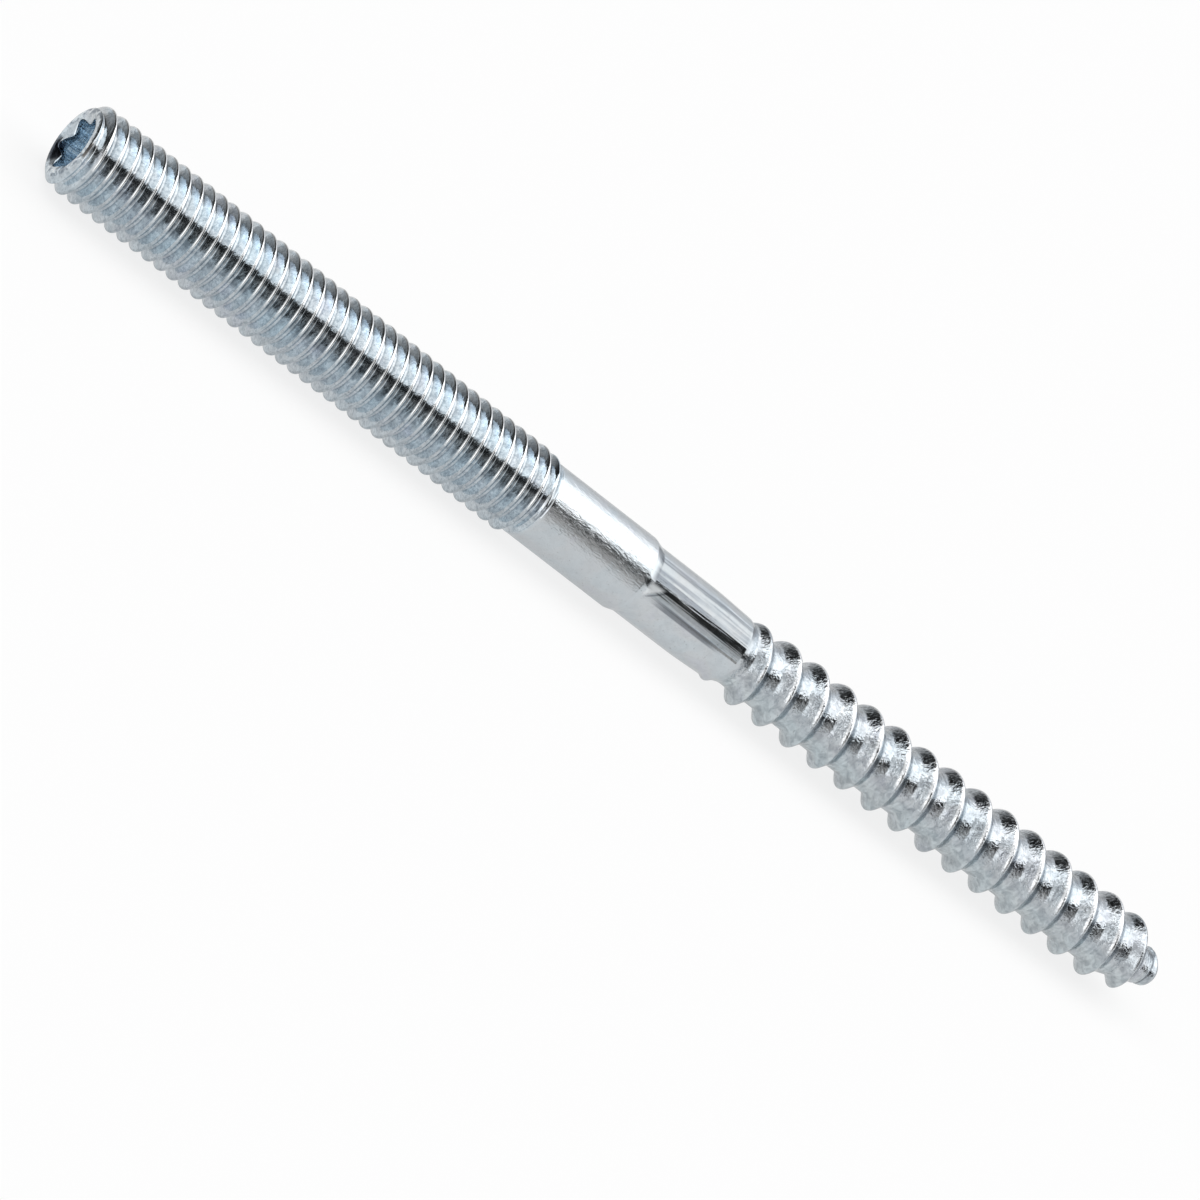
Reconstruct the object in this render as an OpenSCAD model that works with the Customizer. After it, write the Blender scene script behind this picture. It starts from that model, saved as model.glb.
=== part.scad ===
// Hanger bolt of zinc-plated steel, one piece. One end has a machine thread with a
// six-lobe drive recess in its face. A plain shank and a drawn-down neck follow, and
// the other end has a coarse wood thread that winds out on a blunt point.
// The bolt lies along X on the plane z = 0, with the machine thread towards -X.
// All sizes are in millimetres and degrees.

/* [Machine thread] */
// Diameter over the crests of the machine thread
thread_d = 6; // [5.8:0.1:8]
// Pitch of the machine thread
thread_pitch = 1; // [0.5:0.05:1.25]
// Length of the machine thread, from the end face to the plain shank
thread_len = 38; // [10:0.5:80]
// Leg of the 45 degree chamfer on the machine end
end_chamfer = 0.55; // [0.2:0.05:0.75]

/* [Drive recess] */
// Diameter across the lobes of the recess
recess_d = 3.95; // [3.2:0.05:4.1]
// Diameter across the flutes that stand between the lobes
recess_root_d = 2.85; // [2:0.05:3.1]
// Depth of the lobed walls below the end face
recess_depth = 2.2; // [1.2:0.1:5]
// Diameter of the countersunk mouth on the end face
mouth_d = 4.2; // [4:0.05:4.4]

/* [Shank and neck] */
// Diameter of the plain shank
shank_d = 5.35; // [5.1:0.05:5.7]
// Length of the plain shank
shank_len = 8.5; // [2:0.5:60]
// Diameter of the neck
neck_d = 4.95; // [4.7:0.05:5.05]
// Length of the neck, from the plain shank to the wood thread
neck_len = 8.1; // [4:0.1:30]
// Length of the cone that leads from the shank down to the neck
neck_shoulder = 0.7; // [0.2:0.1:1.5]
// Diameter of the neck's end, next to the wood thread
neck_end_d = 4.6; // [4.3:0.05:4.65]
// Length of the neck's taper down to its end
neck_taper = 2.3; // [0.2:0.1:2.4]

/* [Wood thread] */
// Diameter over the crests of the wood thread
wood_d = 5.5; // [5:0.05:6.2]
// Diameter at the root of the wood thread
wood_root_d = 4.05; // [3.4:0.05:4.15]
// Pitch of the wood thread
wood_pitch = 2.45; // [1.8:0.05:4]
// Length of the wood thread with its point
wood_len = 39.4; // [15:0.1:90]
// Width of the land on top of the ridge
wood_crest = 0.36; // [0.1:0.02:0.8]
// Angle between the two flanks of the ridge
wood_flank_angle = 76; // [50:1:90]
// Turns over which the ridge rises from the neck
wood_run_in = 1; // [0.3:0.1:2]
// Length over which the root sinks from the neck's end
wood_root_run = 1.3; // [0.5:0.1:3]

/* [Point] */
// Length over which the root tapers to the tip
point_len = 3.9; // [3:0.1:8]
// Length over which the ridge's crest is cut back to the tip
point_crest_len = 2.8; // [2:0.1:6]
// Diameter of the blunt tip
tip_d = 0.95; // [0.4:0.05:1.6]

/* [Rest] */
// Angle about the axis at which the bolt lies
rest_turn = 304.3; // [0:0.1:359.9]

/* [Hidden] */
$fn = 72;

zinc = [0.75, 0.78, 0.80];

// A cutting body reaches this far past the face that it opens
cut_over = 0.5;

// Machine thread of the metric form: depth and crest land as shares of the pitch
depth_share = 0.6134;
land_share = 0.125;
flank_angle = 60;
thread_r = thread_d / 2;
thread_depth = depth_share * thread_pitch;
thread_land = land_share * thread_pitch;
thread_flank = thread_depth * tan(flank_angle / 2);
groove_w = thread_pitch - thread_land;
end_face_r = thread_r - end_chamfer;
shank_r = shank_d / 2;
run_out = thread_r - shank_r;
// Length that carries grooves, the grooves that fit, and the land left at each end
grooved_len = thread_len - end_chamfer - run_out;
groove_count = floor((grooved_len - thread_land) / thread_pitch);
first_land = (grooved_len - groove_count * thread_pitch + thread_land) / 2;

// Stations along the axis, counted from the end face
shank_end = thread_len + shank_len;
neck_end = shank_end + neck_len;
overall_len = neck_end + wood_len;
neck_r = neck_d / 2;
neck_end_r = neck_end_d / 2;

// Drive recess
recess_r = recess_d / 2;
recess_root_r = recess_root_d / 2;
lobe_count = 6;
lobe_steps = 12 * lobe_count;
// The cones at the mouth and at the floor lap the lobed walls by this much
recess_lap = 0.1;
mouth_r = mouth_d / 2;
mouth_depth = mouth_r - recess_root_r + recess_lap;
floor_cone_r = recess_root_r - recess_lap;
floor_cone_h = floor_cone_r / 2;

// Wood thread: the ridge's section runs from one foot over the land to the other foot
wood_r = wood_d / 2;
wood_root_r = wood_root_d / 2;
flank_run = tan(wood_flank_angle / 2);
ridge_land = wood_crest / 2;
ridge_rows = 4;
tip_r = tip_d / 2;
// Each flank eases out by this much at its foot
foot_ease = 0.08;
// The root is sunk this far into the neck, whose end stands out from it by root_step
root_sink = 0.6;
root_step = 0.05;
root_start_r = neck_end_r - root_step;
// Gaps between the neck and the first foot of the ridge, and the last foot and the tip
neck_land = 0.05;
tip_land = 0.2;
ridge_start = neck_land + foot_ease + ridge_land;
ridge_end = wood_len - tip_land - foot_ease - ridge_land;
turn_steps = 36;
ridge_steps = floor(turn_steps * (ridge_end - ridge_start) / wood_pitch);
// Turns over which the ridge sinks back into the point
ridge_fade = 0.25;

function mix(a, b, t) = a + (b - a) * min(max(t, 0), 1);

// Radius of the root and of the crest at a distance z from the neck
function root_at(z) =
    mix(root_start_r, wood_root_r, z / wood_root_run)
    + mix(0, tip_r - wood_root_r, (z - wood_len + point_len) / point_len);
function crest_at(z) = mix(wood_r, tip_r, (z - wood_len + point_crest_len) / point_crest_len);

// Share of its full height that the ridge has at a step along the helix
function ridge_share(step) =
    min(1, step / (turn_steps * wood_run_in), (ridge_steps - step) / (turn_steps * ridge_fade));

function polar(r, a, z) = [r * cos(a), r * sin(a), z];

// The four points across the ridge at a step, from foot to foot
function ridge_section(step) =
    let (a = 360 * step / turn_steps)
    let (z = ridge_start + wood_pitch * step / turn_steps)
    let (rise = ridge_share(step) * max(0, crest_at(z) - root_at(z)))
    let (foot = ridge_land + rise * flank_run + foot_ease)
    [
        polar(root_at(z - foot), a, z - foot),
        polar(root_at(z - ridge_land) + rise, a, z - ridge_land),
        polar(root_at(z + ridge_land) + rise, a, z + ridge_land),
        polar(root_at(z + foot), a, z + foot)
    ];

// Points: a ring inside the neck, the ridge's sections along the helix, a ring at the tip
wood_points = concat(
    [for (i = [0 : turn_steps - 1]) polar(root_start_r, 360 * i / turn_steps, -root_sink)],
    [for (step = [0 : ridge_steps]) each ridge_section(step)],
    [for (i = [0 : turn_steps - 1]) polar(tip_r, 360 * (ridge_steps + i) / turn_steps, wood_len)]
);

// Places of those points in the list
function start_ring(i) = i % turn_steps;
function on_ridge(step, row) = turn_steps + step * ridge_rows + row;
function tip_ring(i) = turn_steps + (ridge_steps + 1) * ridge_rows + i % turn_steps;

// Two triangles over a patch, its corners in order from the lower left, seen from outside
function patch(a, b, c, d) = [[a, d, c], [a, c, b]];

last_row = ridge_rows - 1;
last_turn = ridge_steps - turn_steps;
wood_faces = concat(
    // ridge
    [for (step = [0 : ridge_steps - 1], row = [0 : last_row - 1])
        each patch(on_ridge(step, row), on_ridge(step + 1, row),
                   on_ridge(step + 1, row + 1), on_ridge(step, row + 1))],
    // root, from one turn of the ridge to the next
    [for (step = [0 : last_turn - 1])
        each patch(on_ridge(step, last_row), on_ridge(step + 1, last_row),
                   on_ridge(step + 1 + turn_steps, 0), on_ridge(step + turn_steps, 0))],
    // root, from the neck to the first turn
    [for (i = [0 : turn_steps - 2])
        each patch(start_ring(i), start_ring(i + 1), on_ridge(i + 1, 0), on_ridge(i, 0))],
    [concat(
        [on_ridge(turn_steps - 1, 0), on_ridge(turn_steps, 0)],
        [for (row = [last_row : -1 : 0]) on_ridge(0, row)],
        [start_ring(0), start_ring(turn_steps - 1)])],
    // point, from the last turn to the tip
    [for (i = [1 : turn_steps - 1])
        each patch(on_ridge(last_turn + i, last_row), on_ridge(last_turn + i + 1, last_row),
                   tip_ring(i + 1), tip_ring(i))],
    [concat(
        [on_ridge(last_turn + 1, last_row), on_ridge(last_turn, last_row)],
        [for (row = [0 : last_row]) on_ridge(ridge_steps, row)],
        [tip_ring(0), tip_ring(1)])],
    // the two flat ends
    [[for (i = [0 : turn_steps - 1]) start_ring(i)]],
    [[for (i = [turn_steps - 1 : -1 : 0]) tip_ring(i)]]
);

// One groove of the machine thread, from land to land, as radius and height
function groove(z) = [
    [thread_r, z],
    [thread_r - thread_depth, z + thread_flank],
    [thread_r - thread_depth, z + groove_w - thread_flank],
    [thread_r, z + groove_w]
];

// Outline of everything from the end face to the end of the neck
body_outline = concat(
    [[0, 0], [end_face_r, 0], [thread_r, end_chamfer]],
    [for (i = [0 : groove_count - 1])
        each groove(end_chamfer + first_land + i * thread_pitch)],
    [
        [thread_r, thread_len - run_out],
        [shank_r, thread_len],
        [shank_r, shank_end],
        [neck_r, shank_end + neck_shoulder],
        [neck_r, neck_end - neck_taper],
        [neck_end_r, neck_end],
        [0, neck_end]
    ]
);

// The machine thread's pitch is fine, so its grooves are turned as rings
module turned_body() {
    rotate_extrude()
        polygon(body_outline);
}

// The wood thread's ridge is a right-hand helix
module wood_thread() {
    translate([0, 0, neck_end])
        polyhedron(points = wood_points, faces = wood_faces, convexity = 10);
}

// Two of the lobes point along the local y axis
module lobed_outline() {
    mean_r = (recess_r + recess_root_r) / 2;
    swing = (recess_r - recess_root_r) / 2;
    polygon([
        for (i = [0 : lobe_steps - 1])
            let (a = 360 * i / lobe_steps)
            let (r = mean_r - swing * cos(lobe_count * a))
            [r * cos(a), r * sin(a)]
    ]);
}

module drive_recess() {
    translate([0, 0, -cut_over])
        linear_extrude(recess_depth + cut_over)
            lobed_outline();
    translate([0, 0, -cut_over])
        cylinder(h = mouth_depth + cut_over, r1 = mouth_r + cut_over, r2 = mouth_r - mouth_depth);
    translate([0, 0, recess_depth - recess_lap])
        cylinder(h = floor_cone_h, r1 = floor_cone_r, r2 = 0);
}

module hanger_bolt() {
    color(zinc)
        translate([-overall_len / 2, 0, thread_r])
            rotate([0, 90, 0])
                rotate([0, 0, rest_turn])
                    difference() {
                        union() {
                            turned_body();
                            wood_thread();
                        }
                        drive_recess();
                    }
}

hanger_bolt();
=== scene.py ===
import math

import bmesh
import bpy
import numpy as np
from mathutils import Matrix


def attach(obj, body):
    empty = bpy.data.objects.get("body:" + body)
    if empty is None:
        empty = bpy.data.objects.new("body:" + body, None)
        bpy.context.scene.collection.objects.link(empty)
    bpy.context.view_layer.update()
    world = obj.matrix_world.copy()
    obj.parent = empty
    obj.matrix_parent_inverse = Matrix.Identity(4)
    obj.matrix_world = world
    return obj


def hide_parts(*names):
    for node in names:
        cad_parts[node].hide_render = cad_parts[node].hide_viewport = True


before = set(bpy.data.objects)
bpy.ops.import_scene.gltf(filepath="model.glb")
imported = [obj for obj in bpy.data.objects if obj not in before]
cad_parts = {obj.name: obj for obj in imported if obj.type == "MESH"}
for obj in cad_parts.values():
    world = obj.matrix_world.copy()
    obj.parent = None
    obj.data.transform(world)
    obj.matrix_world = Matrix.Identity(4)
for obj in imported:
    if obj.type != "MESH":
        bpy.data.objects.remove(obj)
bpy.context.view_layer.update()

# Sizes are in millimetres, as in the part's source where nothing else is said.
# Stations run along the axis from the end face, angles about it from straight up towards +Y.
MM = 0.001
FULL = 2.0 * math.pi
OVERALL = 94.0

# The bolt is seen from this angle above the floor, measured across its axis
SEEN_FROM = math.radians(28.0)

# Machine thread
THREAD_R = 3.0
THREAD_PITCH = 1.0
THREAD_DEPTH = 0.6134
THREAD_LAND = 0.125
THREAD_HALF_ANGLE = math.radians(30.0)
THREAD_LEN = 38.0
END_FACE_R = 2.45
MACHINE_START = 0.76
MACHINE_ZERO = SEEN_FROM

# Roundings of the machine thread, and the slight waver of its crests
CREST_ROUND = 0.07
GROOVE_ROUND = 0.03
CREST_DROP = 0.015
CREST_WAVER = 0.006
WAVER_TURNS = 3.0
WAVER_RUN = 1.7
WAVER_BEAT = 0.9
WAVER_PHASE = 2.0
LIP_DROP = 0.11
LIP_LEN = 0.06
CHAMFER_ROUND = 0.12
RUN_OUT_BEFORE = 0.6
RUN_OUT_AFTER = 0.3

# Fine ring groove where the machine thread runs out
COLLAR_DEPTH = 0.05
COLLAR_AFTER = 0.2
COLLAR_WIDTH = 0.07

# Shank, shoulder and neck; the neck's end is further on and thicker than in the source
SHANK_R = 2.675
SHANK_END = 46.5
SHOULDER = 0.7
NECK_R = 2.475
NECK_END = 54.6
NECK_END_R = 2.33
NECK_TAPER = 2.3
ROOT_FROM = 55.15
ROOT_RUN = 0.85
SHANK_ROUND = 0.015
SHOULDER_ROUND = 0.005
TAPER_ROUND = 0.05
SINK_ROUND = 0.002
ROOT_ROUND = 0.10

# Wood thread; its ridge has a narrower land and wider flanks than in the source
WOOD_R = 2.75
WOOD_ROOT_R = 2.025
WOOD_PITCH = 2.45
WOOD_HALF_LAND = 0.10
WOOD_FLANK = math.tan(math.radians(42.0))
WOOD_ZERO = math.radians(-124.3)
RIDGE_START = NECK_END + 0.31
RIDGE_END = OVERALL - 0.46
RIDGE_TURNS = (RIDGE_END - RIDGE_START) / WOOD_PITCH
RUN_IN = 1.0
RUN_IN_FROM = 0.35
RUN_IN_NOSE = (-0.12, 0.05)
FADE = 0.25

# Roundings of the wood thread, and the slight unevenness of its ridge
RIDGE_ROUND = 0.12
FOOT_ROUND = 0.22
FOOT_SHARE = 1.5
FOOT_LEAST = 0.001
RIDGE_MEAN = 0.985
SWELL = 0.02
SWELL_RUN = 2.1
SWELL_PHASE = 0.4
RIPPLE = 0.015
RIPPLE_TURNS = 5.0

# Point, with a wider and rounded nose and a fine groove behind it
POINT_LEN = 3.9
POINT_CREST_LEN = 2.8
TIP_R = 0.80
NOSE = 0.55
POINT_ROUND = 0.12
POINT_CREST_ROUND = 0.25
TIP_GROOVE_DEPTH = 0.05
TIP_GROOVE_BEFORE = 1.0
TIP_GROOVE_WIDTH = 0.09

# Drive recess; its mouth and its lobes are shallower than in the source
MOUTH_R = 2.1
MOUTH_SLOPE = 0.6
LOBES = 6.0
LOBE_MEAN = 1.7
LOBE_SWING = 0.225
LOBE_ZERO = math.radians(13.5)
RECESS_DEPTH = 2.2
RECESS_FLOOR = 2.7625
FLOOR_CONE_R = 1.125

# Rings of the recess: shares of each run, depths on the walls, depth and radius on the rim
CONE_SHARES = (0.03, 0.3, 0.6, 0.9, 0.97)
FLOOR_SHARES = (0.06, 0.5, 0.94)
WALL_DEPTHS = (2.16, 1.9, 1.5, 1.1, 0.8)
WALL_TOP_BELOW = 0.05
WALL_TOP_DEEPEST = 0.75
MOUTH_SHARES = (0.04, 0.2, 0.5, 0.8, 0.95)
RIM_RINGS = ((0.008, 2.112), (0.0, 2.15), (0.0, 2.23), (0.0, 2.29))

# Stations at which the rows change from plane rings to helices and back
MACHINE_BAND = (1.3, 36.7)
WOOD_BAND = (57.6, 88.6)

# Places of the helix rows beside the crest, in pitches
MACHINE_SIDE = (0.025, 0.05, 0.075, 0.105, 0.12, 0.38, 0.395, 0.415, 0.44)
WOOD_SIDE = (0.012, 0.03, 0.045, 0.06, 0.078, 0.095, 0.22, 0.24, 0.27, 0.305, 0.34, 0.38)

# Marks between which the plane rings are spread evenly, and the rings in each stretch
START_MARKS = (0.0, MACHINE_BAND[0])
START_RINGS = (41,)
EDGE = 0.01
MIDDLE_MARKS = (MACHINE_BAND[1], 38.6, 46.3, 46.65, 47.15, 47.25, 47.6, 52.0, 54.2,
                ROOT_FROM - EDGE, ROOT_FROM + EDGE, WOOD_BAND[0])
MIDDLE_RINGS = (48, 14, 18, 4, 9, 2, 10, 12, 16, 4, 42)
POINT_RINGS = 84
NOSE_RINGS = 13
COLUMNS = 72
ANGLE = np.arange(COLUMNS) * FULL / COLUMNS

# Points of the mesh closer than these are one
MERGE = 0.002 * MM
DEGENERATE = 0.001 * MM


def smooth_min(a, b, k):
    return np.minimum(a, b) - np.maximum(k - np.abs(a - b), 0.0) ** 2 / (4.0 * k)


def smooth_max(a, b, k):
    return -smooth_min(-a, -b, k)


def ease(x, lo, hi):
    t = np.clip((x - lo) / (hi - lo), 0.0, 1.0)
    return t * t * (3.0 - 2.0 * t)


def mix(a, b, t):
    return a + (b - a) * t


def groove(u, at, depth, width):
    return depth * np.exp(-((u - at) / width) ** 2)


# Machine thread: a right-hand helix of the metric form with a chamfered start
def machine_radius(u, angle):
    off = (u - MACHINE_START) / THREAD_PITCH + (angle - MACHINE_ZERO) / FULL
    off = np.abs(off - np.round(off)) * THREAD_PITCH
    flank = THREAD_R - (off - THREAD_LAND / 2.0) / math.tan(THREAD_HALF_ANGLE)
    r = smooth_min(flank, THREAD_R, CREST_ROUND)
    r = smooth_max(r, THREAD_R - THREAD_DEPTH, GROOVE_ROUND)
    waver = np.sin(WAVER_TURNS * angle + WAVER_RUN * u) * np.sin(WAVER_BEAT * u + WAVER_PHASE)
    r = r - CREST_DROP + CREST_WAVER * waver
    chamfer = END_FACE_R + u - LIP_DROP * np.exp(-u / LIP_LEN)
    r = smooth_min(r, chamfer, CHAMFER_ROUND)
    r = mix(r, SHANK_R, ease(u, THREAD_LEN - RUN_OUT_BEFORE, THREAD_LEN + RUN_OUT_AFTER))
    return r - groove(u, THREAD_LEN + COLLAR_AFTER, COLLAR_DEPTH, COLLAR_WIDTH)


# Shank, shoulder, neck and the run of the root below the first turn of the wood thread
def plain_radius(u):
    cone = SHANK_R - (SHANK_R - NECK_R) * (u - SHANK_END) / SHOULDER
    r = smooth_min(cone, SHANK_R, SHANK_ROUND)
    r = smooth_max(r, NECK_R, SHOULDER_ROUND)
    taper_from = NECK_END - NECK_TAPER
    taper = NECK_R - (NECK_R - NECK_END_R) * (u - taper_from) / (ROOT_FROM - taper_from)
    r = smooth_min(r, taper, TAPER_ROUND)
    sink = NECK_END_R - (NECK_END_R - WOOD_ROOT_R) * (u - ROOT_FROM) / ROOT_RUN
    r = smooth_min(r, sink, SINK_ROUND)
    return smooth_max(r, WOOD_ROOT_R, ROOT_ROUND)


def root_radius(u):
    cone = mix(WOOD_ROOT_R, TIP_R, (u - OVERALL + POINT_LEN) / POINT_LEN)
    r = smooth_min(plain_radius(u), cone, POINT_ROUND)
    r = r - groove(u, OVERALL - TIP_GROOVE_BEFORE, TIP_GROOVE_DEPTH, TIP_GROOVE_WIDTH)
    nose = np.clip((u - OVERALL + NOSE) / NOSE, 0.0, 1.0)
    return r * np.sqrt(np.maximum(1.0 - nose * nose, 0.0))


def crest_radius(u):
    cone = mix(WOOD_R, TIP_R, (u - OVERALL + POINT_CREST_LEN) / POINT_CREST_LEN)
    return smooth_min(np.full_like(u, WOOD_R), cone, POINT_CREST_ROUND)


# Wood thread: the ridge stands on the root along a right-hand helix
def wood_radius(u, angle):
    part = ((WOOD_ZERO - angle) / FULL) % 1.0
    turn = np.round((u - RIDGE_START) / WOOD_PITCH - part) + part
    centre = RIDGE_START + WOOD_PITCH * turn
    share = np.minimum(mix(RUN_IN_FROM, 1.0, turn / RUN_IN), (RIDGE_TURNS - turn) / FADE)
    share = np.clip(share, 0.0, 1.0) * ease(turn, *RUN_IN_NOSE)
    tall = np.maximum(crest_radius(centre) - root_radius(centre), 0.0) * share
    swell = SWELL * np.sin(SWELL_RUN * centre + SWELL_PHASE)
    ripple = RIPPLE * np.sin(RIPPLE_TURNS * angle + centre)
    tall = np.minimum(tall * (RIDGE_MEAN + swell + ripple), WOOD_R - WOOD_ROOT_R)
    rise = tall + (WOOD_HALF_LAND - np.abs(u - centre)) / WOOD_FLANK
    rise = smooth_min(rise, tall, RIDGE_ROUND)
    soft = np.minimum(FOOT_ROUND, FOOT_SHARE * tall + FOOT_LEAST)
    rise = smooth_max(rise, 0.0, soft)
    return root_radius(u) + np.where(tall > 0.0, rise, 0.0)


# The threads' functions reach this far into the plain part, where both agree
HAND_OVER = 1.0


def body_radius(u, angle):
    u = np.asarray(u, float) + 0.0 * angle
    r = np.where(u < THREAD_LEN + HAND_OVER, machine_radius(u, angle), plain_radius(u))
    return np.where(u > NECK_END - HAND_OVER, wood_radius(u, angle), r)


# The skin is a grid: plane rings where the bolt is plain, rows along the helix in the threads
verts = []
faces = []


def ring(u, r):
    start = len(verts)
    u = np.broadcast_to(u, COLUMNS)
    r = np.broadcast_to(r, COLUMNS)
    y = r * np.sin(ANGLE)
    z = THREAD_R + r * np.cos(ANGLE)
    verts.extend(zip((u - OVERALL / 2.0) * MM, y * MM, z * MM))
    return start


def body_ring(u):
    return ring(u, body_radius(u, ANGLE))


def spread(marks, counts):
    parts = [np.linspace(a, b, count, endpoint=False)
             for a, b, count in zip(marks, marks[1:], counts)]
    return np.concatenate(parts + [marks[-1:]])


def bridge(rings):
    for a, b in zip(rings, rings[1:]):
        for j in range(COLUMNS):
            k = (j + 1) % COLUMNS
            faces.append((a + j, b + j, b + k, a + k))


def fan(u, start, outward):
    centre = len(verts)
    verts.append(((u - OVERALL / 2.0) * MM, 0.0, THREAD_R * MM))
    for j in range(COLUMNS):
        a, b = start + j, start + (j + 1) % COLUMNS
        faces.append((centre, a, b) if outward else (centre, b, a))


# The rows of one turn, in pitches from its crest, from the middle of the groove before it
def both_sides(side):
    return (-0.5,) + tuple(-off for off in reversed(side)) + (0.0,) + side


def helix_band(lo, hi, pitch, phase, offsets):
    first = math.floor((lo - phase) / pitch) - 1
    last = math.ceil((hi - phase) / pitch) + 2
    stations = [phase + (k + off) * pitch for k in range(first, last) for off in offsets]
    grid = [body_ring(np.clip(base - pitch * ANGLE / FULL, lo, hi)) for base in stations]
    seam = COLUMNS - 1
    per_turn = len(offsets)
    for a, b in zip(grid, grid[1:]):
        for j in range(seam):
            faces.append((a + j, b + j, b + j + 1, a + j + 1))
    for i in range(len(grid) - per_turn - 1):
        a, b = grid[i + per_turn] + seam, grid[i + per_turn + 1] + seam
        faces.append((a, b, grid[i + 1], grid[i]))


# Drive recess, from its floor out to the rim of the end face
def recess_rings():
    lobe = LOBE_MEAN + LOBE_SWING * np.cos(LOBES * (ANGLE - LOBE_ZERO))
    meet = MOUTH_SLOPE * (MOUTH_R - lobe)
    cone = [ring(mix(RECESS_FLOOR, RECESS_DEPTH, t), FLOOR_CONE_R * t) for t in CONE_SHARES]
    flat = [ring(RECESS_DEPTH, mix(FLOOR_CONE_R, lobe, t)) for t in FLOOR_SHARES]
    wall = [ring(depth, lobe) for depth in WALL_DEPTHS]
    wall.append(ring(np.minimum(meet + WALL_TOP_BELOW, WALL_TOP_DEEPEST), lobe))
    mouth = [ring(meet * (1.0 - t), mix(lobe, MOUTH_R, t)) for t in MOUTH_SHARES]
    rim = [ring(depth, r) for depth, r in RIM_RINGS]
    return cone + flat + wall + mouth + rim


near_end = recess_rings() + [body_ring(u) for u in spread(START_MARKS, START_RINGS)]
nose_turn = np.linspace(0.0, math.pi / 2.0, NOSE_RINGS, endpoint=False)
point = np.concatenate([
    np.linspace(WOOD_BAND[1], OVERALL - NOSE, POINT_RINGS, endpoint=False),
    OVERALL - NOSE + NOSE * np.sin(nose_turn),
])
far_end = [body_ring(u) for u in point]
bridge(near_end)
helix_band(*MACHINE_BAND, THREAD_PITCH, MACHINE_START + MACHINE_ZERO / FULL * THREAD_PITCH,
           both_sides(MACHINE_SIDE))
bridge([body_ring(u) for u in spread(MIDDLE_MARKS, MIDDLE_RINGS)])
helix_band(*WOOD_BAND, WOOD_PITCH, RIDGE_START + WOOD_ZERO / FULL * WOOD_PITCH,
           both_sides(WOOD_SIDE))
bridge(far_end)
fan(RECESS_FLOOR, near_end[0], True)
fan(OVERALL, far_end[-1], False)

mesh = bpy.data.meshes.new("hanger_bolt_skin")
mesh.from_pydata(verts, [], faces)
bm = bmesh.new()
bm.from_mesh(mesh)
bmesh.ops.remove_doubles(bm, verts=bm.verts, dist=MERGE)
bmesh.ops.dissolve_degenerate(bm, edges=bm.edges, dist=DEGENERATE)
bmesh.ops.recalc_face_normals(bm, faces=bm.faces)
for face in bm.faces:
    face.smooth = True
bm.to_mesh(mesh)
bm.free()
bolt = bpy.data.objects.new("hanger_bolt_skin", mesh)
bpy.context.scene.collection.objects.link(bolt)


class Nodes:
    """Short calls that add nodes to a tree and link them."""

    # Places of the sockets that a mix node uses for colours
    MIX_FACTOR, MIX_A, MIX_B, MIX_RESULT = 0, 6, 7, 2

    def __init__(self, tree):
        self.tree = tree

    def add(self, kind, **settings):
        item = self.tree.nodes.new(kind)
        for key, value in settings.items():
            setattr(item, key, value)
        return item

    def put(self, socket, value):
        if isinstance(value, bpy.types.NodeSocket):
            self.tree.links.new(value, socket)
        else:
            socket.default_value = value

    def math(self, operation, a, b=0.0):
        item = self.add("ShaderNodeMath", operation=operation)
        self.put(item.inputs[0], a)
        self.put(item.inputs[1], b)
        return item.outputs[0]

    def product(self, result, *factors):
        for factor in factors:
            result = self.math("MULTIPLY", result, factor)
        return result

    def span(self, value, lo, hi, start=0.0, stop=1.0):
        item = self.add("ShaderNodeMapRange", interpolation_type="SMOOTHSTEP")
        for name, number in (("Value", value), ("From Min", lo), ("From Max", hi),
                             ("To Min", start), ("To Max", stop)):
            self.put(item.inputs[name], number)
        return item.outputs[0]

    def fade(self, value, lo, hi):
        return self.span(value, lo, hi, 1.0, 0.0)

    def window(self, value, lo, hi, soft):
        rise = self.span(value, lo - soft, lo + soft)
        return self.product(rise, self.fade(value, hi - soft, hi + soft))

    def ramp(self, value, stops):
        item = self.add("ShaderNodeValToRGB")
        marks = item.color_ramp.elements
        marks[0].position, marks[1].position = stops[0][0], stops[-1][0]
        for place, _ in stops[1:-1]:
            marks.new(place)
        for mark, (_, colour) in zip(marks, stops):
            mark.color = colour + (1.0,)
        self.put(item.inputs[0], value)
        return item.outputs[0]

    def blend(self, factor, a, b, mode="MIX"):
        item = self.add("ShaderNodeMix", data_type="RGBA", blend_type=mode)
        for place, value in ((self.MIX_FACTOR, factor), (self.MIX_A, a), (self.MIX_B, b)):
            self.put(item.inputs[place], value + (1.0,) if isinstance(value, tuple) else value)
        return item.outputs[self.MIX_RESULT]

    def tinted(self, factor, colour, tint):
        return self.blend(factor, colour, tint, "MULTIPLY")

    def noise(self, vector, scale, detail, distortion):
        item = self.add("ShaderNodeTexNoise")
        for name, number in (("Vector", vector), ("Scale", scale), ("Detail", detail),
                             ("Distortion", distortion)):
            self.put(item.inputs[name], number)
        return item.outputs[0]

    def combine(self, x, y, z):
        item = self.add("ShaderNodeCombineXYZ")
        for socket, value in zip(item.inputs, (x, y, z)):
            self.put(socket, value)
        return item.outputs[0]

    def bump(self, height, depth_mm, normal=None):
        item = self.add("ShaderNodeBump")
        self.put(item.inputs["Distance"], depth_mm * MM)
        self.put(item.inputs["Height"], height)
        if normal is not None:
            self.put(item.inputs["Normal"], normal)
        return item.outputs[0]


WHITE = (1.0, 1.0, 1.0)

# Stretched noises: scale along the axis and about it, detail, distortion
ROLLED = (4.6, 1.8, 3.0, 0.5)
DRAWN = (0.12, 8.0, 2.0, 0.0)
CRINKLE = (1.9, 13.0, 3.0, 1.0)

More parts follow.
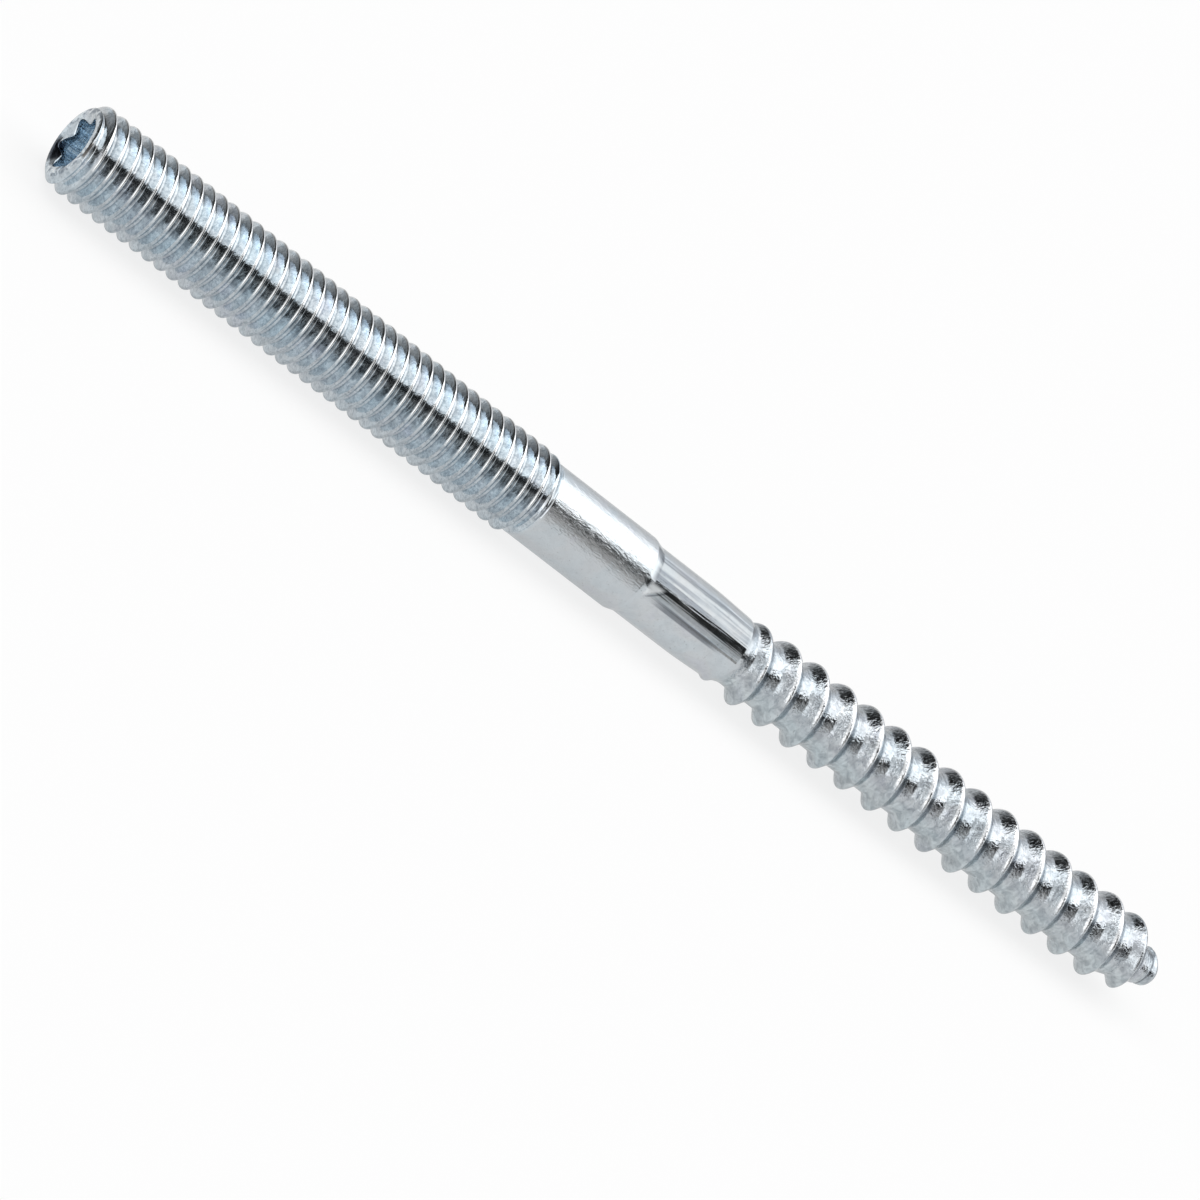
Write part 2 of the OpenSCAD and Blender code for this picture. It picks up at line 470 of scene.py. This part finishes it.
# Even noises: scale, detail, distortion
MOTTLE = (2.0, 3.0, 0.8)
DENTS = (4.2, 2.0, 1.0)
GRAIN = (9.0, 2.0, 0.0)
PATCH = (0.45, 2.0, 0.5)

# Stations of the parts that differ in surface; a third number is the softness of both ends
MACHINE_UNTIL = (38.1, 38.4)
SHANK_PART = (38.4, 46.6, 0.15)
NECK_PART = (46.9, 55.2, 0.3)
WOOD_FROM = (54.8, 56.2)
FACE_UNTIL = (0.03, 0.10)
RECESS_EDGE = (MOUTH_SLOPE * MOUTH_R + 0.02, MOUTH_SLOPE * MOUTH_R + 0.10)
RECESS_R = (2.0, 2.08)
RECESS_UNTIL = (3.0, 3.5)

# Depths of the fine relief
STREAK_DEPTH = 0.010
LUMP_DEPTH = 0.018
GRAIN_DEPTH = 0.0030

# Colours over a noise
PLATE = [(0.30, (0.680, 0.745, 0.785)), (0.45, (0.698, 0.750, 0.785)),
         (0.57, (0.715, 0.750, 0.775)), (0.70, (0.705, 0.735, 0.780))]
WORN = [(0.34, (0.60, 0.61, 0.63)), (0.62, WHITE)]
LINES = [(0.36, (0.62, 0.63, 0.64)), (0.58, WHITE)]
SPOTS = [(0.36, (0.66, 0.69, 0.72)), (0.52, WHITE)]
FINE_LINES = [(0.42, (0.64, 0.65, 0.66)), (0.60, WHITE)]
DARK_REFLECTION_STREAKS = [(0.42, (0.34, 0.35, 0.37)), (0.60, (0.61, 0.605, 0.60))]
SPECKS = [(0.24, (0.55, 0.54, 0.53)), (0.34, WHITE)]
RECESS_BLUE = [(0.38, (0.50, 0.62, 0.72)), (0.60, (0.78, 0.86, 0.92))]
SMUDGES = [(0.38, (0.50, 0.53, 0.57)), (0.50, WHITE), (0.62, (1.22, 1.22, 1.22))]

# Machine thread: radii, stations, heights above the axis and tints
# Painted shade in the roots of the machine thread's grooves
ROOT_SHADE_UNDER_R = (2.39, 2.52)
ROOT_SHADE_AFTER = (0.9, 1.2)
ROOT_SHADE_TINT = (0.80, 0.81, 0.82)
MACHINE_TINT = (1.05, 1.045, 1.035)
# Painted reflection: the machine thread's lower part lighter and bluer
LOWER_REFLECTION_Z = (0.9, 1.6)
LOWER_REFLECTION_TINT = (1.09, 1.127, 1.155)
# Painted highlight: the machine thread's top lighter and bluer
TOP_HIGHLIGHT_Z = (2.3, 2.7)
TOP_HIGHLIGHT_TINT = (1.10, 1.16, 1.21)
SPOTTED = 0.75
# Crests: painted shade on their lower side, a painted highlight on their upper side
EDGE_R = (2.86, 2.94)
LOWER_CREST_SHADE_Z = (0.2, 1.2)
LOWER_CREST_SHADE = (0.82, 0.82, 0.82)
UPPER_CREST_HIGHLIGHT_Z = (0.4, 1.2)
UPPER_CREST_HIGHLIGHT = (0.88, 0.90, 0.91)
SHADE_STRIP = (-76.0, 4.0, 13.0)
SHADE_UNDER_R = (2.80, 2.90)
SHADE_AFTER = (0.6, 1.0)

# Wood thread and point
WOOD_TINT = (0.94, 0.95, 0.96)
# Painted reflection: the wood thread's underside lighter
UNDER_REFLECTION_Z = (-0.5, 0.2)
UNDER_REFLECTION_TINT = (1.09, 1.115, 1.10)
# Painted highlight: the wood thread's crests paler on their upper side
WOOD_CREST_HIGHLIGHT_R = (2.56, 2.68)
WOOD_CREST_HIGHLIGHT_Z = (0.5, 1.3)
WOOD_CREST_HIGHLIGHT = (0.83, 0.85, 0.87)
# Painted shade in the groove at the tip
TIP_GROOVE_SHADE_PART = (92.93, 93.07, 0.07)
TIP_GROOVE_SHADE = (0.45, 0.46, 0.48)

# Neck: a painted dark reflection line, a paler strip of painted reflection above it, and painted
# dark reflection on the upper side, broken up by the drawn streaks
DARK_LINE_REFLECTION_STRIP = (-73.5, 3.2, 6.0)
DARK_LINE_REFLECTION_PART = (48.2, 53.2, 0.9)
DARK_LINE_REFLECTION_TINT = (0.42, 0.43, 0.45)
# Painted reflection: a paler, bluer strip along the neck
PALE_REFLECTION_STRIP = (-63.5, 5.0, 8.5)
PALE_REFLECTION_TINT = (1.14, 1.19, 1.23)
# Painted dark reflection on the neck's upper side, broken up by the drawn streaks
DARK_REFLECTION_STRIP = (-29.5, 12.0, 28.0)

# Painted reflection at the neck's start: a pale, dull triangle with a painted dark reflection
# line, oblique, along one side
TRIANGLE_REFLECTION_MIDDLE = math.radians(-62.0)
TRIANGLE_REFLECTION_SLANT = 2.87
TRIANGLE_REFLECTION_UNTIL = (47.50, 47.85)
TRIANGLE_REFLECTION_FROM = (46.75, 47.10)
TRIANGLE_REFLECTION_STRIP = (-64.0, 7.0, 15.0)
TRIANGLE_REFLECTION = (0.82, 0.86, 0.88)
TRIANGLE_REFLECTION_DULL = 0.6
OBLIQUE_DARK_REFLECTION_PART = (47.86, 47.98, 0.12)
OBLIQUE_DARK_REFLECTION_STRIP = (-64.0, 8.0, 14.0)
OBLIQUE_DARK_REFLECTION_TINT = (0.35, 0.37, 0.40)

# End face: smudges, a dark band of painted reflection at the chamfer's start, a ragged patch of
# painted shade at the rim
SMUDGED_R = (1.9, 2.0)
# Painted dark reflection: a brownish dark band at the chamfer's start
CHAMFER_REFLECTION_UNTIL = (0.10, 0.26)
CHAMFER_REFLECTION_R = (2.40, 2.46)
CHAMFER_REFLECTION_STRIP = (-59.0, 9.0, 14.0)
CHAMFER_REFLECTION_TINT = (0.26, 0.23, 0.21)
# Painted shade: a ragged dark patch over the rim and into the recess mouth, on the lower back
# side
RIM_SHADE_UNTIL = (0.45, 0.75)
RIM_SHADE_R = (1.40, 1.60)
RIM_SHADE_STRIP = (150.0, 16.0, 28.0)
RIM_SHADE_MOTTLE = (0.24, 0.42)
RIM_SHADE_TINT = (0.11, 0.12, 0.14)

# Roughness: a base, the part that follows the mottling, and more on the shank
ROUGH = 0.05
ROUGH_MOTTLE = 0.14
ROUGH_SHANK = 0.11


# Bright zinc plate: rolled streaks on the threads, drawn streaks on the neck, mottling all over
def zinc_material():
    mat = bpy.data.materials.new("zinc_plate")
    mat.use_nodes = True
    n = Nodes(mat.node_tree)
    shader = mat.node_tree.nodes["Principled BSDF"]

    # Station, breadth and height in millimetres, the last two counted from the axis
    place = n.add("ShaderNodeVectorMath", operation="MULTIPLY_ADD")
    place.inputs[1].default_value = (1.0 / MM,) * 3
    place.inputs[2].default_value = (OVERALL / 2.0, 0.0, -THREAD_R)
    n.put(place.inputs[0], n.add("ShaderNodeTexCoord").outputs["Object"])
    spot = place.outputs[0]
    split = n.add("ShaderNodeSeparateXYZ")
    n.put(split.inputs[0], spot)
    u, y, z = split.outputs
    radius = n.math("SQRT", n.math("ADD", n.product(y, y), n.product(z, z)))
    sine, cosine = n.math("DIVIDE", y, radius), n.math("DIVIDE", z, radius)

    def streaky(along, about, detail, distortion):
        vector = n.combine(n.product(u, along), n.product(sine, about), n.product(cosine, about))
        return n.noise(vector, 1.0, detail, distortion)

    # A strip along the bolt: its middle, and the angles where it is full and where it ends
    def strip(middle, inner, outer):
        middle, inner, outer = (math.radians(angle) for angle in (middle, inner, outer))
        facing = n.math("ADD", n.product(sine, math.sin(middle)),
                        n.product(cosine, math.cos(middle)))
        return n.span(facing, math.cos(outer), math.cos(inner))

    # Sum over the parts of the bolt: part, value, weight
    def zoned(rows):
        total = None
        for zone, value, weight in rows:
            item = n.product(value, zone, weight)
            total = item if total is None else n.math("ADD", total, item)
        return total

    # A noise counted from the middle of its range, so that a part's end makes no step
    def level(height):
        return n.math("SUBTRACT", height, 0.5)

    rolled, drawn, crinkle = streaky(*ROLLED), streaky(*DRAWN), streaky(*CRINKLE)
    mottle, dents = n.noise(spot, *MOTTLE), n.noise(spot, *DENTS)
    grain, patch = n.noise(spot, *GRAIN), n.noise(spot, *PATCH)

    machine = n.fade(u, *MACHINE_UNTIL)
    shank = n.window(u, *SHANK_PART)
    neck = n.window(u, *NECK_PART)
    wood = n.span(u, *WOOD_FROM)
    face = n.fade(u, *FACE_UNTIL)
    below_mouth = n.span(n.math("ADD", n.product(radius, MOUTH_SLOPE), u), *RECESS_EDGE)
    recess = n.product(below_mouth, n.fade(radius, *RECESS_R), n.fade(u, *RECESS_UNTIL))

    # Fine relief
    streaks = zoned([
        (machine, level(rolled), 1.7),
        (wood, level(rolled), 1.2),
        (neck, level(drawn), 5.0),
        (shank, level(crinkle), 2.6),
    ])
    lumps = zoned([
        (machine, level(mottle), 0.7),
        (wood, level(mottle), 1.5),
        (wood, level(dents), 2.2),
        (neck, level(mottle), 0.3),
        (face, level(dents), 1.3),
    ])
    normal = n.bump(streaks, STREAK_DEPTH)
    normal = n.bump(lumps, LUMP_DEPTH, normal)
    normal = n.bump(grain, GRAIN_DEPTH, normal)
    n.put(shader.inputs["Normal"], normal)

    # Plating, with worn patches and rolled lines
    colour = n.ramp(patch, PLATE)
    wear = zoned([(machine, 1.0, 0.42), (wood, 1.0, 0.8), (neck, 1.0, 0.2), (shank, 1.0, 0.15)])
    colour = n.tinted(wear, colour, n.ramp(mottle, WORN))
    lined = zoned([(machine, 1.0, 0.30), (wood, 1.0, 0.4)])
    colour = n.tinted(lined, colour, n.ramp(rolled, LINES))

    # Machine thread
    # Painted shade darkens the roots of the grooves
    root = n.product(machine, n.fade(radius, *ROOT_SHADE_UNDER_R), n.span(u, *ROOT_SHADE_AFTER))
    colour = n.tinted(root, colour, ROOT_SHADE_TINT)
    colour = n.tinted(machine, colour, MACHINE_TINT)
    # Painted reflection: lighter and bluer on the lower part
    colour = n.tinted(n.product(machine, n.fade(z, *LOWER_REFLECTION_Z)), colour, LOWER_REFLECTION_TINT)
    # Painted highlight on the top
    colour = n.tinted(n.product(machine, n.span(z, *TOP_HIGHLIGHT_Z)), colour, TOP_HIGHLIGHT_TINT)
    colour = n.tinted(n.product(machine, SPOTTED), colour, n.ramp(dents, SPOTS))
    # Painted shade on the crests below, a painted highlight on the crests above
    edge = n.product(machine, n.span(radius, *EDGE_R))
    colour = n.tinted(n.product(edge, n.fade(z, *LOWER_CREST_SHADE_Z)), colour, LOWER_CREST_SHADE)
    colour = n.blend(n.product(edge, n.span(z, *UPPER_CREST_HIGHLIGHT_Z)), colour, UPPER_CREST_HIGHLIGHT)

    # Wood thread
    colour = n.tinted(wood, colour, WOOD_TINT)
    # Painted reflection: lighter on the underside
    colour = n.tinted(n.product(wood, n.fade(z, *UNDER_REFLECTION_Z)), colour, UNDER_REFLECTION_TINT)
    # Painted highlight on the crests' upper side
    crest = n.product(wood, n.span(radius, *WOOD_CREST_HIGHLIGHT_R), n.span(z, *WOOD_CREST_HIGHLIGHT_Z))
    colour = n.blend(crest, colour, WOOD_CREST_HIGHLIGHT)

    # Painted streaky shade in the machine thread's grooves, and painted shade in the groove at
    # the tip
    shade = n.product(strip(*SHADE_STRIP), n.fade(radius, *SHADE_UNDER_R), machine,
                      n.span(u, *SHADE_AFTER))
    colour = n.tinted(shade, colour, n.ramp(rolled, FINE_LINES))
    colour = n.tinted(n.window(u, *TIP_GROOVE_SHADE_PART), colour, TIP_GROOVE_SHADE)

    # Neck
    # Painted dark reflection: a thin dark line along the neck
    dark_line_reflection = n.product(strip(*DARK_LINE_REFLECTION_STRIP), n.window(u, *DARK_LINE_REFLECTION_PART))
    colour = n.tinted(dark_line_reflection, colour, DARK_LINE_REFLECTION_TINT)
    # Painted reflection: a paler, bluer strip
    colour = n.tinted(n.product(neck, strip(*PALE_REFLECTION_STRIP)), colour, PALE_REFLECTION_TINT)
    across = n.math("SUBTRACT", n.product(sine, math.cos(TRIANGLE_REFLECTION_MIDDLE)),
                    n.product(cosine, math.sin(TRIANGLE_REFLECTION_MIDDLE)))
    oblique = n.math("SUBTRACT", u, n.product(across, TRIANGLE_REFLECTION_SLANT))
    # Painted reflection: a pale, less metallic triangle at the neck's start
    triangle_reflection = n.product(n.fade(oblique, *TRIANGLE_REFLECTION_UNTIL), n.span(u, *TRIANGLE_REFLECTION_FROM),
                      strip(*TRIANGLE_REFLECTION_STRIP))
    colour = n.blend(triangle_reflection, colour, TRIANGLE_REFLECTION)
    # Painted dark reflection: an oblique line along the triangle's side
    oblique_dark_reflection = n.product(n.window(oblique, *OBLIQUE_DARK_REFLECTION_PART), strip(*OBLIQUE_DARK_REFLECTION_STRIP))
    colour = n.tinted(oblique_dark_reflection, colour, OBLIQUE_DARK_REFLECTION_TINT)
    # Painted dark reflection on the upper side, broken up by the drawn streaks
    dark_reflection = n.product(neck, strip(*DARK_REFLECTION_STRIP))
    colour = n.tinted(dark_reflection, colour, n.ramp(drawn, DARK_REFLECTION_STREAKS))

    # Specks all over, then the recess and the end face
    colour = n.tinted(1.0, colour, n.ramp(grain, SPECKS))
    colour = n.blend(recess, colour, n.ramp(dents, RECESS_BLUE))
    smudged = n.product(face, n.span(radius, *SMUDGED_R))
    colour = n.tinted(smudged, colour, n.ramp(mottle, SMUDGES))
    # Painted dark reflection: a dark band at the chamfer's start
    chamfer_reflection = n.product(n.fade(u, *CHAMFER_REFLECTION_UNTIL), n.span(radius, *CHAMFER_REFLECTION_R), strip(*CHAMFER_REFLECTION_STRIP))
    colour = n.tinted(chamfer_reflection, colour, CHAMFER_REFLECTION_TINT)
    # Painted shade: a ragged dark patch at the rim's lower back side
    rim_shade = n.product(n.fade(u, *RIM_SHADE_UNTIL), n.span(radius, *RIM_SHADE_R), strip(*RIM_SHADE_STRIP),
                      n.span(mottle, *RIM_SHADE_MOTTLE))
    colour = n.tinted(rim_shade, colour, RIM_SHADE_TINT)

    n.put(shader.inputs["Base Color"], colour)
    # Less metallic in the painted reflection triangle
    n.put(shader.inputs["Metallic"], n.math("SUBTRACT", 1.0, n.product(triangle_reflection, TRIANGLE_REFLECTION_DULL)))
    gloss = n.math("ADD", n.product(mottle, ROUGH_MOTTLE), ROUGH)
    n.put(shader.inputs["Roughness"], n.math("ADD", gloss, n.product(shank, ROUGH_SHANK)))
    return mat


bolt.data.materials.append(zinc_material())
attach(bolt, "root")
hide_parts("hanger_bolt")

# Pale floor: it shows white to the camera and in the metal, and keeps a soft shadow
SIDE = 4.0
GLOW = 0.8
DIMMER_IN_METAL = 0.30
FLOOR_COLOUR = (0.90, 0.90, 0.90, 1.0)
floor_mesh = bpy.data.meshes.new("floor")
floor_mesh.from_pydata([(-SIDE, -SIDE, 0), (SIDE, -SIDE, 0), (SIDE, SIDE, 0), (-SIDE, SIDE, 0)],
                       [], [(0, 1, 2, 3)])
floor = bpy.data.objects.new("floor", floor_mesh)
bpy.context.scene.collection.objects.link(floor)
floor_mat = bpy.data.materials.new("pale_floor")
floor_mat.use_nodes = True
floor_mat.node_tree.nodes.clear()
n = Nodes(floor_mat.node_tree)
diffuse = n.add("ShaderNodeBsdfDiffuse")
diffuse.inputs["Color"].default_value = FLOOR_COLOUR
glow = n.add("ShaderNodeEmission")
path = n.add("ShaderNodeLightPath").outputs
n.put(glow.inputs["Strength"],
      n.math("SUBTRACT", 1.0, n.product(path["Is Glossy Ray"], DIMMER_IN_METAL)))
seen = n.math("MAXIMUM", path["Is Camera Ray"], path["Is Glossy Ray"])
seen = n.math("MAXIMUM", seen, path["Is Transmission Ray"])
join = n.add("ShaderNodeMixShader")
n.put(join.inputs[0], n.product(seen, GLOW))
n.put(join.inputs[1], diffuse.outputs[0])
n.put(join.inputs[2], glow.outputs[0])
n.put(n.add("ShaderNodeOutputMaterial").inputs["Surface"], join.outputs[0])
floor.data.materials.append(floor_mat)

# Studio: a broad softbox overhead along the bolt, with a dim room in front of it and behind it
SOFTBOX = 1.75
world = bpy.data.worlds.new("studio")
bpy.context.scene.world = world
world.use_nodes = True
world.node_tree.nodes.clear()
n = Nodes(world.node_tree)
split = n.add("ShaderNodeSeparateXYZ")
n.put(split.inputs[0], n.add("ShaderNodeTexCoord").outputs["Generated"])
lean = n.math("ARCTAN2", split.outputs["Y"], split.outputs["Z"])
lean = n.math("ADD", n.math("DIVIDE", lean, math.pi), 0.5)


def bands(stops):
    return n.ramp(lean, [((deg + 90.0) / 180.0, colour) for deg, colour in stops])


def grey(value):
    return (value, value, value)


# Light over the angle about the bolt's axis, in degrees from straight up
DARK = grey(0.012)
over_middle = bands([
    (-90, grey(0.42)), (-83, grey(0.40)), (-76, (0.270, 0.264, 0.258)),
    (-60, (0.218, 0.212, 0.206)), (-53, (0.175, 0.168, 0.162)), (-50, DARK), (-31, DARK),
    (-28, WHITE), (30, WHITE), (43, (0.52, 0.53, 0.55)), (54, (0.40, 0.41, 0.43)),
    (75, grey(0.38)), (90, grey(0.28)),
])
over_right = bands([
    (-90, grey(0.18)), (-87, grey(0.05)), (-83, DARK), (-31, DARK), (-28, WHITE), (30, WHITE),
    (44, (0.45, 0.46, 0.48)), (54, (0.30, 0.31, 0.33)), (90, grey(0.11)),
])
over_far_right = bands([
    (-90, grey(0.42)), (-64, grey(0.40)), (-58, DARK), (-31, DARK), (-28, grey(0.80)),
    (30, grey(0.80)), (44, (0.45, 0.46, 0.48)), (54, (0.30, 0.31, 0.33)), (90, grey(0.11)),
])
over_left = bands([
    (-90, grey(0.75)), (-66, grey(0.85)), (-52, grey(0.45)), (-14, grey(0.45)), (-6, WHITE),
    (26, WHITE), (31, DARK), (64, DARK), (76, grey(0.12)), (90, grey(0.22)),
])
over_far_left = bands([
    (-90, grey(0.36)), (-45, grey(0.38)), (-30, grey(0.10)), (-8, grey(0.10)), (4, WHITE),
    (22, WHITE), (28, DARK), (66, DARK), (90, grey(0.09)),
])

# Where one set of bands gives way to the next, by the direction's share along +X
TO_RIGHT = (0.556, 0.60)
TO_FAR_RIGHT = (0.69, 0.76)
FROM_LEFT = (-0.18, -0.02)
FROM_FAR_LEFT = (-0.92, -0.84)
east = split.outputs["X"]
light = n.blend(n.span(east, *TO_RIGHT), over_middle, over_right)
light = n.blend(n.span(east, *TO_FAR_RIGHT), light, over_far_right)
light = n.blend(n.span(east, *FROM_LEFT), over_left, light)
light = n.blend(n.span(east, *FROM_FAR_LEFT), over_far_left, light)
back = n.add("ShaderNodeBackground")
back.inputs["Strength"].default_value = SOFTBOX
n.put(back.inputs["Color"], light)
n.put(n.add("ShaderNodeOutputWorld").inputs["Surface"], back.outputs[0])

# Camera on the machine end's side of the bolt; picture sizes in pixels of 1200 across
PICTURE = 1200.0
SENSOR = 36.0
LEAN = math.radians(26.386)
ROLL = math.radians(37.6056)
FOCAL = 8335.51
END_FACE_DEPTH = 493.796
END_FACE_AT = (-527.45, 458.7)
CLIP = (0.01, 20.0)
axis = np.array([1.0, 0.0, 0.0])
toward = np.array([0.0, -math.cos(SEEN_FROM), math.sin(SEEN_FROM)])
upper = np.array([0.0, math.sin(SEEN_FROM), math.cos(SEEN_FROM)])
look = math.sin(LEAN) * axis - math.cos(LEAN) * toward
along = math.cos(LEAN) * axis + math.sin(LEAN) * toward
right = math.cos(ROLL) * along + math.sin(ROLL) * upper
up = -math.sin(ROLL) * along + math.cos(ROLL) * upper
end_face = np.array([-OVERALL / 2.0, 0.0, THREAD_R])
ray = look + END_FACE_AT[0] / FOCAL * right + END_FACE_AT[1] / FOCAL * up
stand = (end_face - END_FACE_DEPTH * ray) * MM
lens = bpy.data.cameras.new("camera")
lens.sensor_width = SENSOR
lens.lens = FOCAL / PICTURE * SENSOR
lens.clip_start, lens.clip_end = CLIP
camera = bpy.data.objects.new("camera", lens)
bpy.context.scene.collection.objects.link(camera)
camera.matrix_world = Matrix([
    (right[k], up[k], -look[k], stand[k]) for k in range(3)
] + [(0.0, 0.0, 0.0, 1.0)])
bpy.context.scene.camera = camera
bpy.context.scene.view_settings.view_transform = "Standard"
